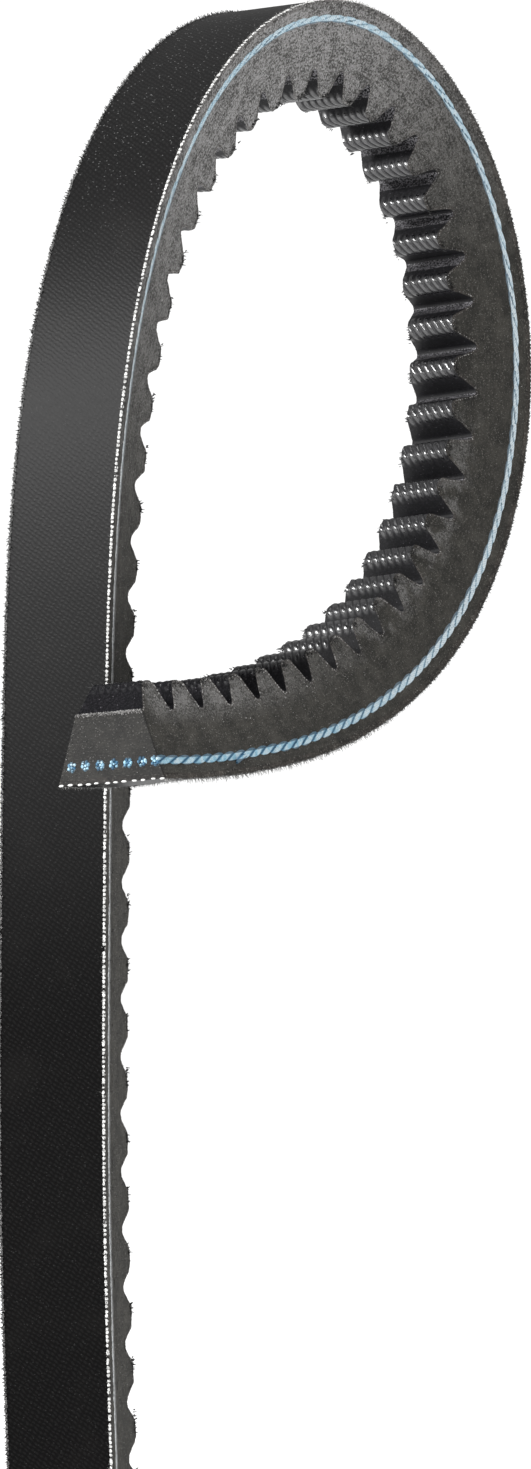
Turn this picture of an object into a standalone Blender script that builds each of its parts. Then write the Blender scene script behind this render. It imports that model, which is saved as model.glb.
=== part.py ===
"""A cut length of raw-edge cogged V-belt, bent into an open loop, built ply by ply.

Everything is swept along the belt's cord line by one moving frame. Distances along the belt
start at the free end, where it is cut through a notch. The other end, the tail end, stands on
the origin. In the moving frame `along` runs towards the free end, `across` points to the near
flank and `inward` points from the belt's back to its cogs. A depth is measured inward from
the back.

The belt bends everywhere, so it is divided at two notches into three stiff sections, which
turn on each other about axes along X in the cord line. Their faces there lean apart to leave
room for it.
"""

import math
from collections import namedtuple

import bpy
import bmesh
import numpy as np
from mathutils import Matrix, Vector

MM = 0.001

# Section
TOP_WIDTH = 16.5 * MM
BELT_DEPTH = 13.0 * MM
FLANK_SLOPE = math.tan(math.radians(19.0))

# Plies, from the back to the cogs
CLEARANCE = 0.3 * MM
BACK_FABRIC_THICKNESS = 0.6 * MM
OVERCORD_THICKNESS = 0.5 * MM
CORD_DIAMETER = 1.4 * MM
ADHESION_GUM_THICKNESS = 0.8 * MM
FACING_THICKNESS = 0.5 * MM

# Cords, numbered from the near flank, which cuts through the first one
CORD_COUNT = 7
CORD_PITCH = 2.2 * MM
CORD_SIDES = 6
FIRST_CORD_INSET = 0.3 * MM

# Cogs
COG_PITCH = 7.7 * MM
COG_COUNT = 57.5
NOTCH_DEPTH = 3.8 * MM
NOTCH_RADIUS = 0.8 * MM
CREST_RADIUS = 1.5 * MM
NOTCH_HALF_ANGLE = math.radians(28.0)

# Joints, each at the root of a notch
FREE_END_NOTCH = 12
TAIL_NOTCH = 34
JOINT_SWING = math.radians(15.0)
JOINT_GAP = 0.4 * MM

# Course of the belt: (mm from the free end, radians per metre), straight between the points
BEND = (
    (0, 5.1), (25, 4.4), (60, 9.9), (85, 16.1), (125, 19.5), (150, 23.3), (200, 29.8), (225, 20.1),
    (265, 9.1), (320, -0.2), (350, -1.5), (385, 0.0), (412, 3.7), (428.75, -1.9), (432.75, 0.0),
)
TWIST = ((0, -1.6), (80, 0.2), (160, -1.0), (240, -1.6), (320, -0.6), (400, 0.5), (432.75, 0.0))
SIDE_BEND = (
    (0, -2.1), (60, 1.6), (140, 0.0), (220, -0.3), (300, 0.4), (380, 1.6), (424.75, -3.5),
    (432.75, 0.0),
)
TRACE_STEP = 1.0 * MM
SAME_PLACE = 0.01 * MM

# Derived sizes
LENGTH = COG_COUNT * COG_PITCH
CORD_RADIUS = CORD_DIAMETER / 2
OVERCORD_TOP = BACK_FABRIC_THICKNESS + CLEARANCE
CORD_LINE = OVERCORD_TOP + OVERCORD_THICKNESS + CLEARANCE + CORD_RADIUS
GUM_TOP = CORD_LINE + CORD_RADIUS + CLEARANCE
RUBBER_TOP = GUM_TOP + ADHESION_GUM_THICKNESS + CLEARANCE
ROOT_DEPTH = BELT_DEPTH - NOTCH_DEPTH

Section = namedtuple("Section", "name start end step pivot")

# Each ply's colour and roughness
FINISHES = {
    "back_fabric": ((0.016, 0.016, 0.017), 0.80),
    "overcord_rubber": ((0.050, 0.047, 0.042), 0.75),
    "cord": ((0.330, 0.560, 0.720), 0.45),
    "adhesion_gum": ((0.062, 0.058, 0.050), 0.70),
    "compression_rubber": ((0.055, 0.052, 0.046), 0.78),
    "cog_facing": ((0.024, 0.023, 0.022), 0.50),
}


def clear_scene():
    for obj in list(bpy.data.objects):
        bpy.data.objects.remove(obj, do_unlink=True)


def rate_at(course, distance):
    """A bend or twist rate in radians per metre, at a distance from the free end."""
    places = [place * MM for place, _ in course]
    return float(np.interp(distance, places, [rate for _, rate in course]))


def trace_cord_line():
    """The moving frame at even steps, from the tail end to the free end."""
    count = round(LENGTH / TRACE_STEP)
    step = LENGTH / count
    point = Vector((0.0, CORD_LINE - BELT_DEPTH / 2, 0.0))
    frame = Matrix(((0, 1, 0), (0, 0, 1), (1, 0, 0)))
    trace = [(point.copy(), frame.copy())]
    for index in range(count):
        middle = LENGTH - (index + 0.5) * step
        turn = Vector((rate_at(TWIST, middle), -rate_at(BEND, middle), rate_at(SIDE_BEND, middle)))
        angle = turn.length * step
        axis = turn if angle else Vector((1, 0, 0))
        point = point + (frame @ Matrix.Rotation(angle / 2, 3, axis)).col[0] * step
        frame = frame @ Matrix.Rotation(angle, 3, axis)
        trace.append((point.copy(), frame.copy()))
    return trace


TRACE = trace_cord_line()


def frame_at(distance):
    """The cord line's point and its along, across and inward directions at a distance."""
    place = (LENGTH - distance) / LENGTH * (len(TRACE) - 1)
    index = min(max(int(place), 0), len(TRACE) - 2)
    (point, frame), (next_point, next_frame) = TRACE[index], TRACE[index + 1]
    part = place - index
    directions = [frame.col[i].lerp(next_frame.col[i], part).normalized() for i in range(3)]
    return point.lerp(next_point, part), directions


def locate(distance, depth, across):
    """The world point at a distance along the belt, a depth and a place across its width."""
    point, (_, sideways, inward) = frame_at(distance)
    return point + sideways * across + inward * (depth - CORD_LINE)


def half_width(depth):
    return TOP_WIDTH / 2 - depth * FLANK_SLOPE


def relief(depth):
    """How far a section's face stands back from its joint, enough for half of the swing."""
    return JOINT_GAP / 2 + abs(depth - CORD_LINE) * math.tan(JOINT_SWING / 2)


def is_joint(distance):
    return round(distance / COG_PITCH, 6) in (FREE_END_NOTCH, TAIL_NOTCH)


def within(section, distance, depth):
    """The distance, kept back from the section's joints at this depth."""
    low = section.start + (relief(depth) if is_joint(section.start) else 0.0)
    high = section.end - (relief(depth) if is_joint(section.end) else 0.0)
    return min(max(distance, low), high)


def notch_side(offset, trimmed):
    """One side of a notch as (distance from its centre, depth), from the root to the crest.

    The curve lies `offset` below the cog surface: a root arc, a straight flank and a crest arc.
    A trimmed side starts half way up its flank, to leave a joint room.
    """
    lean = math.pi / 2 - NOTCH_HALF_ANGLE
    root_radius, crest_radius = NOTCH_RADIUS + offset, CREST_RADIUS - offset
    root_centre = ROOT_DEPTH + NOTCH_RADIUS
    crest_centre = BELT_DEPTH - CREST_RADIUS
    flank_rise = crest_centre - root_centre + (NOTCH_RADIUS + CREST_RADIUS) * math.cos(lean)
    crest_place = (NOTCH_RADIUS + CREST_RADIUS) * math.sin(lean) + flank_rise * math.tan(NOTCH_HALF_ANGLE)
    root = (0.0, root_centre - root_radius)
    root_end = (root_radius * math.sin(lean), root_centre - root_radius * math.cos(lean))
    crest_start = (
        crest_place - crest_radius * math.sin(lean),
        crest_centre + crest_radius * math.cos(lean),
    )
    crest_end = (crest_place, crest_centre + crest_radius)
    half_way = tuple((low + high) / 2 for low, high in zip(root_end, crest_start))
    return ([half_way] if trimmed else [root, root_end]) + [crest_start, crest_end]


def cog_profile(section, offset, trim_at_joints=False):
    """The section's cog surface, `offset` below it, as (distance, depth) pairs."""
    first, last = round(section.start / COG_PITCH), math.floor(section.end / COG_PITCH + 1e-6)
    profile = []
    for notch in range(first, last + 1):
        centre = notch * COG_PITCH
        side = notch_side(offset, trim_at_joints and is_joint(centre))
        if notch > first:
            profile += [(centre - x, depth) for x, depth in reversed(side)]
        if centre < section.end - SAME_PLACE:
            profile += [(centre + x, depth) for x, depth in (side[1:] if notch > first else side)]
    if profile[-1][0] < section.end - SAME_PLACE:
        profile.append((section.end, BELT_DEPTH - offset))
    return profile


def stations(section):
    """Even distances from the section's start to its end."""
    count = round((section.end - section.start) / section.step)
    return [section.start + (section.end - section.start) * i / count for i in range(count + 1)]


def make_material(kind):
    colour, roughness = FINISHES[kind]
    material = bpy.data.materials.new(kind)
    material.use_nodes = True
    shader = material.node_tree.nodes["Principled BSDF"]
    shader.inputs["Base Color"].default_value = (*colour, 1.0)
    shader.inputs["Roughness"].default_value = roughness
    shader.inputs["Metallic"].default_value = 0.0
    return material


def add_sweep(name, section, rings, material):
    """A closed solid through rings of world points, carried by the section's pivot."""
    mesh = bpy.data.meshes.new(name)
    work = bmesh.new()
    origin = section.pivot.matrix_world.translation if section.pivot else Vector()
    loops = [[work.verts.new(point - origin) for point in ring] for ring in rings]
    sides = len(loops[0])
    for ring, following in zip(loops, loops[1:]):
        for i in range(sides):
            j = (i + 1) % sides
            work.faces.new((ring[i], ring[j], following[j], following[i]))
    work.faces.new(loops[0])
    work.faces.new(loops[-1])
    bmesh.ops.recalc_face_normals(work, faces=work.faces)
    work.to_mesh(mesh)
    work.free()
    mesh.materials.append(material)
    obj = bpy.data.objects.new(name, mesh)
    bpy.context.scene.collection.objects.link(obj)
    obj.parent = section.pivot
    return obj


def add_ply(kind, section, outer, inner, material):
    """A ply between two lines of (distance, depth) pairs, as wide as the belt is there."""
    rings = []
    for pair in zip(outer, inner):
        corners = []
        for (distance, depth), order in zip(pair, ((-1, 1), (1, -1))):
            place = within(section, distance, depth)
            corners += [locate(place, depth, side * half_width(depth)) for side in order]
        rings.append(corners)
    add_sweep(f"{section.name}_{kind}", section, rings, material)


def add_flat_ply(kind, section, top, thickness, material):
    places = stations(section)
    outer = [(place, top) for place in places]
    inner = [(place, top + thickness) for place in places]
    add_ply(kind, section, outer, inner, material)


def add_cord(number, section, material):
    """A round cord, cut flush where it would stand out of the near flank."""
    centre = half_width(CORD_LINE) - FIRST_CORD_INSET - (number - 1) * CORD_PITCH
    rings = []
    for place in stations(section):
        distance = within(section, place, CORD_LINE + CORD_RADIUS)
        ring = []
        for side in range(CORD_SIDES):
            angle = 2 * math.pi * (side + 0.5) / CORD_SIDES
            depth = CORD_LINE + CORD_RADIUS * math.sin(angle)
            across = min(centre + CORD_RADIUS * math.cos(angle), half_width(depth))
            ring.append(locate(distance, depth, across))
        rings.append(ring)
    cord = add_sweep(f"{section.name}_cord_{number}", section, rings, material)
    cord.data.shade_smooth()


def add_section(section, materials):
    add_flat_ply("back_fabric", section, 0.0, BACK_FABRIC_THICKNESS, materials["back_fabric"])
    add_flat_ply(
        "overcord_rubber", section, OVERCORD_TOP, OVERCORD_THICKNESS, materials["overcord_rubber"]
    )
    for number in range(1, CORD_COUNT + 1):
        add_cord(number, section, materials["cord"])
    add_flat_ply(
        "adhesion_gum", section, GUM_TOP, ADHESION_GUM_THICKNESS, materials["adhesion_gum"]
    )
    cogs = cog_profile(section, FACING_THICKNESS + CLEARANCE)
    rubber_back = [(distance, RUBBER_TOP) for distance, _ in cogs]
    add_ply("compression_rubber", section, rubber_back, cogs, materials["compression_rubber"])
    facing_back = cog_profile(section, FACING_THICKNESS, trim_at_joints=True)
    facing_front = cog_profile(section, 0.0, trim_at_joints=True)
    add_ply("cog_facing", section, facing_back, facing_front, materials["cog_facing"])


def add_pivot(name, notch, parent):
    """An empty on a joint's axis, which is its X and crosses the belt in the cord line."""
    point, _ = frame_at(notch * COG_PITCH)
    pivot = bpy.data.objects.new(name, None)
    bpy.context.scene.collection.objects.link(pivot)
    pivot.empty_display_size = TOP_WIDTH
    pivot.parent = parent
    pivot.location = point - (parent.matrix_world.translation if parent else Vector())
    bpy.context.view_layer.update()
    return pivot


def main():
    clear_scene()
    materials = {kind: make_material(kind) for kind in FINISHES}
    loop_pivot = add_pivot("loop_pivot", TAIL_NOTCH, None)
    free_end_pivot = add_pivot("free_end_pivot", FREE_END_NOTCH, loop_pivot)
    tail_joint, free_joint = TAIL_NOTCH * COG_PITCH, FREE_END_NOTCH * COG_PITCH
    sections = (
        Section("tail", tail_joint, LENGTH, COG_PITCH, None),
        Section("loop", free_joint, tail_joint, COG_PITCH * 2 / 3, loop_pivot),
        Section("free_end", 0.0, free_joint, COG_PITCH, free_end_pivot),
    )
    for section in sections:
        add_section(section, materials)


main()
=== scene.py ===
"""The looks of a cut length of raw-edge cogged V-belt, bent into an open loop.

Every piece is designed in the belt's own coordinates, which a `place` holds: its distance from
the free end, its depth inward from the back, and how far it lies across, towards the near flank.
locate() lays places along the course that the CAD model gives the belt, so each piece lies where
the CAD solids that it stands for lie. All pieces are made of closed tubes: a ply is one wide
tube, a cord is three twisted ones and a fibre is a thin one.

A piece has a tail side and a free side, which meet at a notch at the top of the loop. Each side
crosses one joint.
"""

import math
from collections import namedtuple

import bpy
import numpy as np
from mathutils import Matrix, Vector


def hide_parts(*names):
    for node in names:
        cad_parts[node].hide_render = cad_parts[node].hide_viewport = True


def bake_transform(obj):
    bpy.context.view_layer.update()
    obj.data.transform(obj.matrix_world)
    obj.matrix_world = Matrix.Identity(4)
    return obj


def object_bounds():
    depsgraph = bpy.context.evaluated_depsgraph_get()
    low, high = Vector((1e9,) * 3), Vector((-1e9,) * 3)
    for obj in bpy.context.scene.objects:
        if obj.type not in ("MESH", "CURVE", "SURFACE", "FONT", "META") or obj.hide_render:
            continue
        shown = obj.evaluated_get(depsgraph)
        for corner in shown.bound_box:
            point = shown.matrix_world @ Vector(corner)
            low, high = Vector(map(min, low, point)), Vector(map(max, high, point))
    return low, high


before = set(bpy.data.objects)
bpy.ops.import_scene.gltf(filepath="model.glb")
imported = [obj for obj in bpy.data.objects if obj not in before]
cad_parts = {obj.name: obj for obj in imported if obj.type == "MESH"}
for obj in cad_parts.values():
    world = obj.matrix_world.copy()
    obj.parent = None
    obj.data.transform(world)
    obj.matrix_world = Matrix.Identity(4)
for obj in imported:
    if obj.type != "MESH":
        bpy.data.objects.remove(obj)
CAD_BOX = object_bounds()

MM = 0.001
FULL_TURN = 2 * math.pi

# Section, as in the CAD model
TOP_WIDTH = 16.5 * MM
BELT_DEPTH = 13.0 * MM
FLANK_SLOPE = math.tan(math.radians(19.0))
CORD_LINE = 2.4 * MM
CORD_COUNT = 7
CORD_PITCH = 2.2 * MM
FIRST_CORD_INSET = 0.3 * MM
COG_PITCH = 7.7 * MM
COG_COUNT = 57.5
NOTCH_DEPTH = 3.8 * MM
NOTCH_RADIUS = 0.8 * MM
CREST_RADIUS = 1.5 * MM
NOTCH_HALF_ANGLE = math.radians(28.0)
FREE_END_NOTCH = 12
TAIL_NOTCH = 34
LENGTH = COG_COUNT * COG_PITCH
ROOT_DEPTH = BELT_DEPTH - NOTCH_DEPTH

# Course of the belt, as in the CAD model: (mm from the free end, radians per metre)
BEND = (
    (0, 5.1), (25, 4.4), (60, 9.9), (85, 16.1), (125, 19.5), (150, 23.3), (200, 29.8), (225, 20.1),
    (265, 9.1), (320, -0.2), (350, -1.5), (385, 0.0), (412, 3.7), (428.75, -1.9), (432.75, 0.0),
)
TWIST = ((0, -1.6), (80, 0.2), (160, -1.0), (240, -1.6), (320, -0.6), (400, 0.5), (432.75, 0.0))
SIDE_BEND = (
    (0, -2.1), (60, 1.6), (140, 0.0), (220, -0.3), (300, 0.4), (380, 1.6), (424.75, -3.5),
    (432.75, 0.0),
)
TRACE_STEP = 1.0 * MM

# Plies. They touch, so each one reaches half way into the gap that the CAD model leaves.
FABRIC_END = 0.75 * MM
OVERCORD_END = CORD_LINE
GUM_END = 4.35 * MM
FACING_THICKNESS = 0.5 * MM

# Each side of the belt, from its first notch to its last, and the joint that it crosses
MIDDLE_NOTCH = 23
Side = namedtuple("Side", "name first last bodies joint")
SIDES = (
    Side("tail_side", MIDDLE_NOTCH, COG_COUNT, ("tail", "loop"), TAIL_NOTCH),
    Side("free_side", 0, MIDDLE_NOTCH, ("loop", "free_end"), FREE_END_NOTCH),
)


def side_ends(side):
    """The distances at which a side starts and ends."""
    return side.first * COG_PITCH, side.last * COG_PITCH


def rate_at(course, distance):
    """A bend or twist rate in radians per metre, at a distance from the free end."""
    places = [place * MM for place, _ in course]
    return float(np.interp(distance, places, [rate for _, rate in course]))


def trace_cord_line():
    """The cord line's points and directions at even steps, from the tail end to the free end.

    The directions are the columns of a matrix: along, across and inward.
    """
    count = round(LENGTH / TRACE_STEP)
    step = LENGTH / count
    point = Vector((0.0, CORD_LINE - BELT_DEPTH / 2, 0.0))
    turned = Matrix(((0, 1, 0), (0, 0, 1), (1, 0, 0)))
    points, directions = [point.copy()], [turned.copy()]
    for index in range(count):
        middle = LENGTH - (index + 0.5) * step
        turn = Vector((rate_at(TWIST, middle), -rate_at(BEND, middle), rate_at(SIDE_BEND, middle)))
        angle = turn.length * step
        axis = turn if angle else Vector((1, 0, 0))
        point = point + (turned @ Matrix.Rotation(angle / 2, 3, axis)).col[0] * step
        turned = turned @ Matrix.Rotation(angle, 3, axis)
        points.append(point.copy())
        directions.append(turned.copy())
    return np.array(points), np.array([list(map(list, matrix)) for matrix in directions])


TRACE_POINTS, TRACE_DIRECTIONS = trace_cord_line()


def course_at(distance):
    """The cord line's points and unit directions at an array of distances."""
    along = (LENGTH - distance) / LENGTH * (len(TRACE_POINTS) - 1)
    index = np.clip(along.astype(int), 0, len(TRACE_POINTS) - 2)
    part = (along - index)[..., None]
    points = TRACE_POINTS[index] * (1 - part) + TRACE_POINTS[index + 1] * part
    part = np.clip(part, 0, 1)[..., None]
    directions = TRACE_DIRECTIONS[index] * (1 - part) + TRACE_DIRECTIONS[index + 1] * part
    return points, directions / np.linalg.norm(directions, axis=-2, keepdims=True)


def locate(places):
    """The world points of an array of places."""
    points, directions = course_at(places[..., 0])
    inward = directions[..., 2] * (places[..., 1:2] - CORD_LINE)
    return points + inward + directions[..., 1] * places[..., 2:3]


def half_width(depth):
    return TOP_WIDTH / 2 - depth * FLANK_SLOPE


def wander(distance, wavelength, seed):
    """A smooth random value from -1 to 1 that changes over about a wavelength."""
    rng = np.random.default_rng(seed)
    waves = [
        np.sin(FULL_TURN * distance / (wavelength * share) + rng.uniform(0, FULL_TURN))
        for share in (1.0, 0.62, 0.41)
    ]
    return sum(waves) / len(waves)


# --------------------------------------------------------------------
# Tubes and pieces
# --------------------------------------------------------------------

SHARP_ANGLE = math.radians(42)

# A fibre's thickness from its root to its tip: tapering, or blunt
FIBRE_PROFILE = (1.0, 0.8, 0.3)
STUB_PROFILE = (0.9, 1.0, 0.85, 0.4)


def place_in_scene(thing):
    bpy.context.scene.collection.objects.link(thing)
    return thing


def tube_faces(tubes, rings, corners):
    """The faces of closed tubes, whose vertices run tube by tube, ring by ring."""
    ring, corner = np.meshgrid(np.arange(rings - 1), np.arange(corners), indexing="ij")
    here = ring * corners + corner
    beside = ring * corners + (corner + 1) % corners
    sides = np.stack([here, beside, beside + corners, here + corners], -1).reshape(-1, 4)
    first_cap = np.arange(corners)[::-1]
    last_cap = np.arange(corners) + (rings - 1) * corners
    starts = np.arange(tubes) * rings * corners
    faces = (starts[:, None, None] + sides).reshape(-1, 4).tolist()
    for cap in (first_cap, last_cap):
        faces += (starts[:, None] + cap).tolist()
    return faces


def ring_round(centres, first_axis, second_axis, radii, corners):
    """Tubes of rings about centres (tube, ring, 3), with radii (tube, ring, 2) along two axes."""
    angle = np.arange(corners) * FULL_TURN / corners
    first = radii[..., 0, None] * np.cos(angle)
    second = radii[..., 1, None] * np.sin(angle)
    return (
        centres[:, :, None]
        + first[..., None] * first_axis[:, None, None]
        + second[..., None] * second_axis[:, None, None]
    )


def unit(vectors):
    return vectors / np.linalg.norm(vectors, axis=-1, keepdims=True)


def stack_places(distance, depth, across):
    return np.stack(np.broadcast_arrays(distance, depth, across), -1).astype(float)


def scatter(rng, count, middle, spread):
    """Directions about a middle one."""
    return np.array(middle, float) + rng.normal(0, 1, (count, 3)) * np.array(spread)


def fibres(rng, roots, directions, lengths, radii, curl, profile=FIBRE_PROFILE, guide=(1, 0, 0),
           widths=(1, 1), corners=4):
    """Slightly curled fibres that stand on their roots, one ring for each share in the profile.

    Their width is the first one square to the guide, and the second one along it.
    """
    directions = unit(directions)
    first_axis = unit(np.cross(directions, np.array(guide)))
    second_axis = np.cross(directions, first_axis)
    share = np.linspace(0, 1, len(profile))[None, :, None]
    curls = rng.normal(0, curl, (2, len(roots), 1, 1))
    sideways = curls[0] * first_axis[:, None] + curls[1] * second_axis[:, None]
    reach = lengths[:, None, None] * (share * directions[:, None] + share**2 * sideways)
    thickness = radii[:, None, None] * np.array(profile)[None, :, None] * np.array(widths)
    return ring_round(roots[:, None] + reach, first_axis, second_axis, thickness, corners)


def add_piece(name, side, tubes, materials, stands_for="", shade=None, cut=None):
    """One piece on one side of the belt, from tubes (tube, ring, corner, 3) of places.

    The mesh keeps its places, in mm, as the attribute `belt`, so that patterns bend with it.
    `shade` is a value for each vertex, or an array that broadcasts to that, for the material.
    `cut` says for each corner whether the face after it is a cut one, as the end caps are, and
    has the second material.
    """
    mesh = bpy.data.meshes.new(name)
    flat = tubes.reshape(-1, 3)
    mesh.from_pydata(locate(flat), [], tube_faces(*tubes.shape[:3]))
    belt = mesh.attributes.new("belt", "FLOAT_VECTOR", "POINT")
    belt.data.foreach_set("vector", (flat / MM).astype(np.float32).ravel())
    if shade is not None:
        values = np.broadcast_to(shade, tubes.shape[:3])
        tone = mesh.attributes.new("shade", "FLOAT", "POINT")
        tone.data.foreach_set("value", values.astype(np.float32).ravel())
    mesh.shade_smooth()
    mesh.set_sharp_from_angle(angle=SHARP_ANGLE)
    for material in materials:
        mesh.materials.append(material)
    if cut is not None:
        on_sides = np.tile(cut, tubes.shape[1] - 1)
        mesh.polygons.foreach_set("material_index", [*on_sides.astype(int), 1, 1])
    piece = place_in_scene(bpy.data.objects.new(f"{side.name}_{name}", mesh))
    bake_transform(piece)
    if stands_for:
        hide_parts(*[f"{body}_{stands_for}" for body in side.bodies])


# --------------------------------------------------------------------
# Lines and sections
# --------------------------------------------------------------------

ROOT_POINTS = 6
SLOPE_POINTS = 5
CREST_POINTS = 6
FLAT_POINTS = 3
FLAT_STEP = 0.7 * MM


def half_notch(offset):
    """Half of a notch as (distance from its root, depth), ending at the middle of the crest.

    The curve lies `offset` below the cog surface: a root arc, a straight slope, a crest arc and
    half of the crest's flat.
    """
    lean = math.pi / 2 - NOTCH_HALF_ANGLE
    root_radius, crest_radius = NOTCH_RADIUS + offset, CREST_RADIUS - offset
    root_centre = ROOT_DEPTH + NOTCH_RADIUS
    crest_centre = BELT_DEPTH - CREST_RADIUS
    both_radii = NOTCH_RADIUS + CREST_RADIUS
    rise = crest_centre - root_centre + both_radii * math.cos(lean)
    crest_place = both_radii * math.sin(lean) + rise * math.tan(NOTCH_HALF_ANGLE)
    turn = np.linspace(0, lean, ROOT_POINTS)
    root = np.stack([root_radius * np.sin(turn), root_centre - root_radius * np.cos(turn)], -1)
    turn = turn[-1] * np.linspace(1, 0, CREST_POINTS)
    crest = np.stack(
        [crest_place - crest_radius * np.sin(turn), crest_centre + crest_radius * np.cos(turn)], -1
    )
    slope = np.linspace(root[-1], crest[0], SLOPE_POINTS + 2)[1:-1]
    middle = np.array([COG_PITCH / 2, BELT_DEPTH - offset])
    flat = np.linspace(crest[-1], middle, FLAT_POINTS + 1)[1:]
    return np.concatenate([root, slope, crest, flat])


def cog_line(side, offset=0.0):
    """The cog surface along a side, `offset` below it, as (distance, depth) pairs."""
    half = half_notch(offset)
    runs = []
    for number in range(round(2 * side.first), round(2 * side.last)):
        falling = number % 2
        notch = (number + falling) // 2
        run = half[::-1] if falling else half
        towards = -1 if falling else 1
        runs.append(np.array([notch * COG_PITCH, 0]) + run * np.array([towards, 1]))
    return np.concatenate([run[:-1] for run in runs] + [runs[-1][-1:]])


def flat_line(side, depth):
    """An even line along a side at one depth, as (distance, depth) pairs."""
    start, end = side_ends(side)
    distance = np.linspace(start, end, round((end - start) / FLAT_STEP) + 1)
    return np.stack([distance, np.full_like(distance, depth)], -1)


def ply(outer, inner, columns, rows):
    """The rings of a ply between two lines, with `columns` points across and `rows` down a flank.

    Also returns each corner's share of the way from the inner to the outer line, and its place
    across from -1 to 1.
    """
    row = np.linspace(-1, 1, columns)
    column = np.linspace(0, 1, rows + 2)[1:-1]
    share = np.concatenate([np.zeros(columns), column, np.ones(columns), column[::-1]])
    across = np.concatenate([row, np.ones(rows), row[::-1], -np.ones(rows)])
    line = inner[:, None] + (outer - inner)[:, None] * share[:, None]
    width = across * half_width(line[..., 1])
    return np.concatenate([line, width[..., None]], -1), share, across


def roughen_flanks(rng, rings, across, amount):
    """Pushes each flank's points in or out a little, except on a side's end rings."""
    noise = rng.normal(0, amount, rings.shape[:2])
    noise = (noise + np.roll(noise, 1, 0)) / math.sqrt(2)
    noise[[0, -1]] = 0
    rings[..., 2] += noise * (np.abs(across) == 1)


# --------------------------------------------------------------------
# Materials
# --------------------------------------------------------------------

# Stretches in mm from the free end: where a look starts, is full, starts to fade and is gone
SPECKED_TOP = (185, 205, 235, 260)
# The loop's top is painted paler: partly dust, partly painted sheen
DUST_AND_SHEEN_TOP = (140, 205, 215, 310)
DUSTY_END = (0.5, 4, 15, 70)
DUSTY_LOW = (50, 70, 100, 130)

# Places in mm from the free end between which a look changes over
CUT_EDGE = (0.2, 0.6)
NARROW_CORD_END = (2, 45)
SHINY_COGS_START = (25, 60)
# Where the cord turns paler, whitest on its crowns, and where that fades
PALE_CORD_START = (30, 80)
PALE_CORD_FADES = (135, 180)
BARE_TAIL_START = (225, 300)
# Painted shade: from here down the tail the back fabric's specular level falls, so its lower part
# reads darker
SHADED_TAIL_START = (305, 360)

# Directions across threads and yarns, and the mm from one to the next
TWILL_RIB, TWILL_RIB_PERIOD = (1.0, 0.0, -0.58), 0.55
TWILL_THREAD, TWILL_THREAD_PERIOD = (0.6, 0.0, 1.0), 0.8
CORD_YARN, CORD_YARN_PERIOD = (0.6, 1.0, 0.6), 0.22
FIBRE_YARN, FIBRE_YARN_PERIOD = (1.0, 1.0, 0.2), 0.12

TWILL_BLACK = (0.0038, 0.0036, 0.0037)
TWILL_GREY = (0.0085, 0.0083, 0.0083)
WORN_TWILL = (0.016, 0.015, 0.014)
TWILL_SPECK = (0.11, 0.11, 0.11)
CLOTH_EDGE_DARK = (0.02, 0.019, 0.018)
CLOTH_EDGE_PALE = (0.09, 0.08, 0.07)
RUBBER_DARK = (0.03, 0.029, 0.026)
RUBBER_PALE = (0.075, 0.071, 0.062)
CUT_RUBBER = (0.01, 0.01, 0.011)
FIBRE_TIP = (0.24, 0.23, 0.21)
# Pale dust, also laid on as painted sheen at the loop's top
DUST_AND_SHEEN = (0.35, 0.345, 0.345)
DUST_AND_SHEEN_TIP = (0.65, 0.64, 0.63)
FACING_BLACK = (0.005, 0.005, 0.006)
FACING_GREY = (0.02, 0.019, 0.022)
FACING_SPECK = (0.2, 0.19, 0.21)
# Lint, also laid on as painted light on one wall of each notch
FACING_LINT_AND_LIGHT = (0.34, 0.33, 0.35)
CORD_GROOVE_SHADE = (0.012, 0.09, 0.19)
CORD_BLUE = (0.34, 0.62, 0.78)
WORN_CORD = (0.75, 0.88, 0.93)
PALEST_CORD = (0.9, 0.97, 1.0)
CORD_HAIR = (0.1, 0.28, 0.42)
CORD_GRIME = (0.09, 0.24, 0.36)
# Painted shade along the cord's recessed edges
CORD_EDGE_SHADE = (0.018, 0.055, 0.095)
BARE_CORD_DARK = (0.4, 0.4, 0.4)
BARE_CORD_PALE = (0.85, 0.86, 0.85)
BARE_CORD_EDGE = (0.03, 0.03, 0.03)
WHITE_THREAD = ((0.03, 0.03, 0.03), (0.92, 0.92, 0.9))
GREY_FIBRE = ((0.03, 0.03, 0.03), (0.5, 0.49, 0.48))
BLACK_FIBRE = ((0.008, 0.008, 0.008), (0.12, 0.12, 0.12))


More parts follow.
